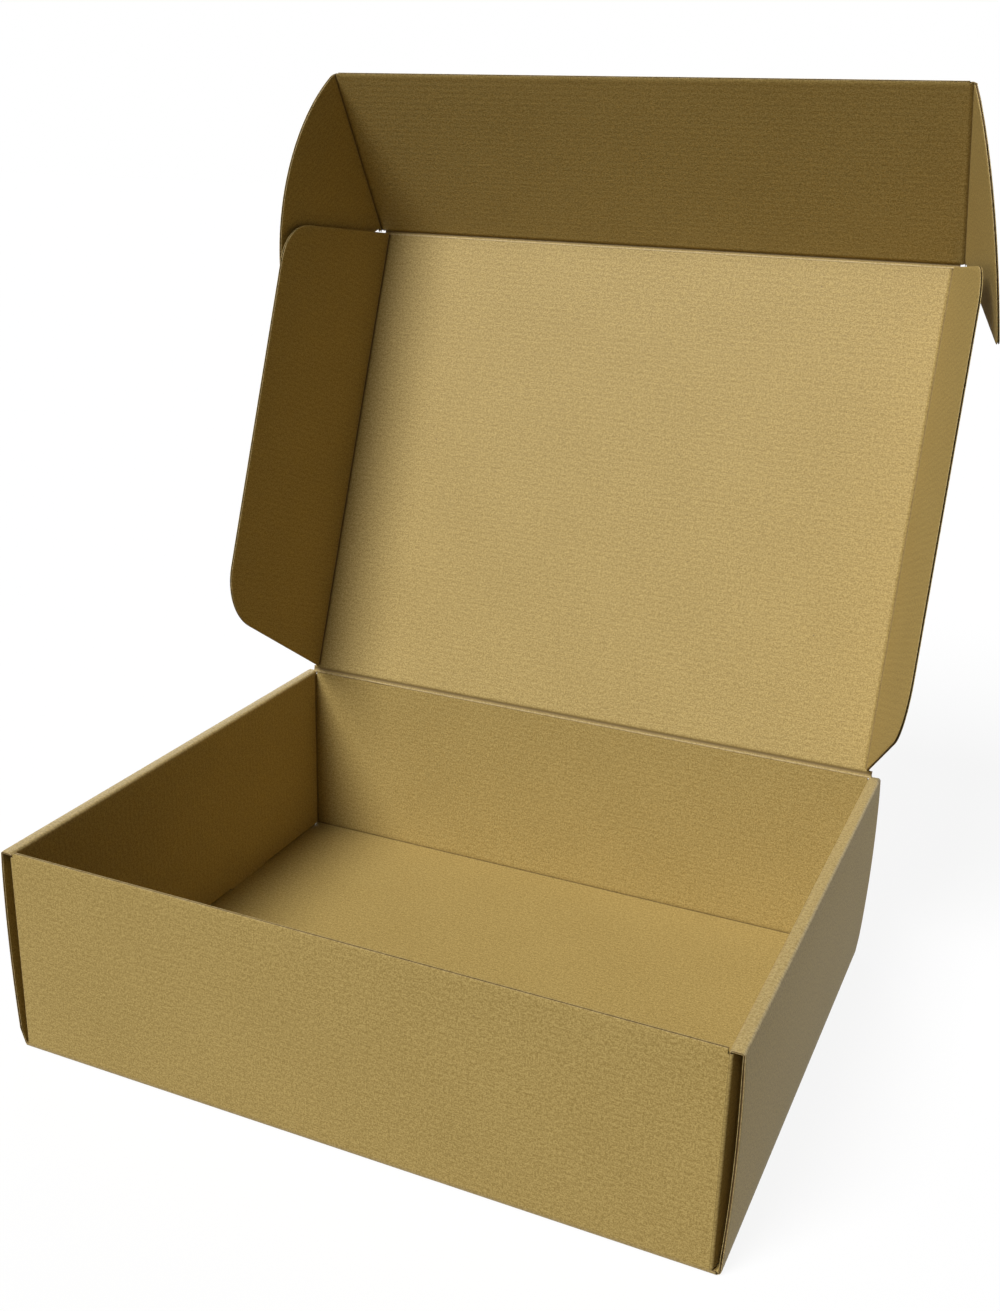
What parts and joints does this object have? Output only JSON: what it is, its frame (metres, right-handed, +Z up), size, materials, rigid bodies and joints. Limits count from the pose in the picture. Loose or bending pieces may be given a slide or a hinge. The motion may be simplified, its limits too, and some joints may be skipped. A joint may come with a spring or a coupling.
{
  "type": "corrugated mailer box",
  "caption": "Open corrugated mailer box: a tray with rolled double side walls and a hinged lid that carries dust flaps, a front flap and curved lock ears.",
  "frame": {"origin": "middle of the tray's underside, on the table", "axes": "+X to the right along the lid's fold, +Y to the back, +Z up"},
  "size_m": [0.3621, 0.341, 0.4222],
  "materials": {
    "kraft_board": "matt brown kraft paper with faint flute lines"
  },
  "bodies": {
    "tray": {"tray": "kraft_board"},
    "lid": {"lid": "kraft_board"},
    "left_dust_flap": {"left_dust_flap": "kraft_board"},
    "right_dust_flap": {"right_dust_flap": "kraft_board"},
    "front_flap": {"front_flap": "kraft_board"},
    "left_ear": {"left_ear": "kraft_board"},
    "right_ear": {"right_ear": "kraft_board"}
  },
  "joints": [
    {"name": "lid_hinge", "type": "hinge", "parent": "tray", "child": "lid", "pos_m": [0, 0.12625, 0.1005], "axis": [-1, 0, 0], "range_deg": [-86, 2]},
    {"name": "left_dust_fold", "type": "hinge", "parent": "lid", "child": "left_dust_flap", "pos_m": [-0.1575, 0.12625, 0.1005], "axis": [0, 0.342, 0.9397], "range_deg": [-0.4, 13]},
    {"name": "right_dust_fold", "type": "hinge", "parent": "lid", "child": "right_dust_flap", "pos_m": [0.1575, 0.12625, 0.1005], "axis": [0, -0.342, -0.9397], "range_deg": [-0.9, 34.5]},
    {"name": "front_flap_fold", "type": "hinge", "parent": "lid", "child": "front_flap", "pos_m": [0, 0.21326, 0.33956], "axis": [1, 0, 0], "range_deg": [-52.5, 1]},
    {"name": "left_ear_fold", "type": "hinge", "parent": "front_flap", "child": "left_ear", "pos_m": [-0.1626, 0.21326, 0.33956], "axis": [0, -0.5373, 0.8434], "range_deg": [-86, 0]},
    {"name": "right_ear_fold", "type": "hinge", "parent": "front_flap", "child": "right_ear", "pos_m": [0.1626, 0.21326, 0.33956], "axis": [0, 0.5373, -0.8434], "range_deg": [-72.5, 0]}
  ],
  "couplings": [
    {"joint": "left_dust_fold", "follows": "lid_hinge", "ratio": -0.15},
    {"joint": "right_dust_fold", "follows": "lid_hinge", "ratio": -0.4}
  ]
}
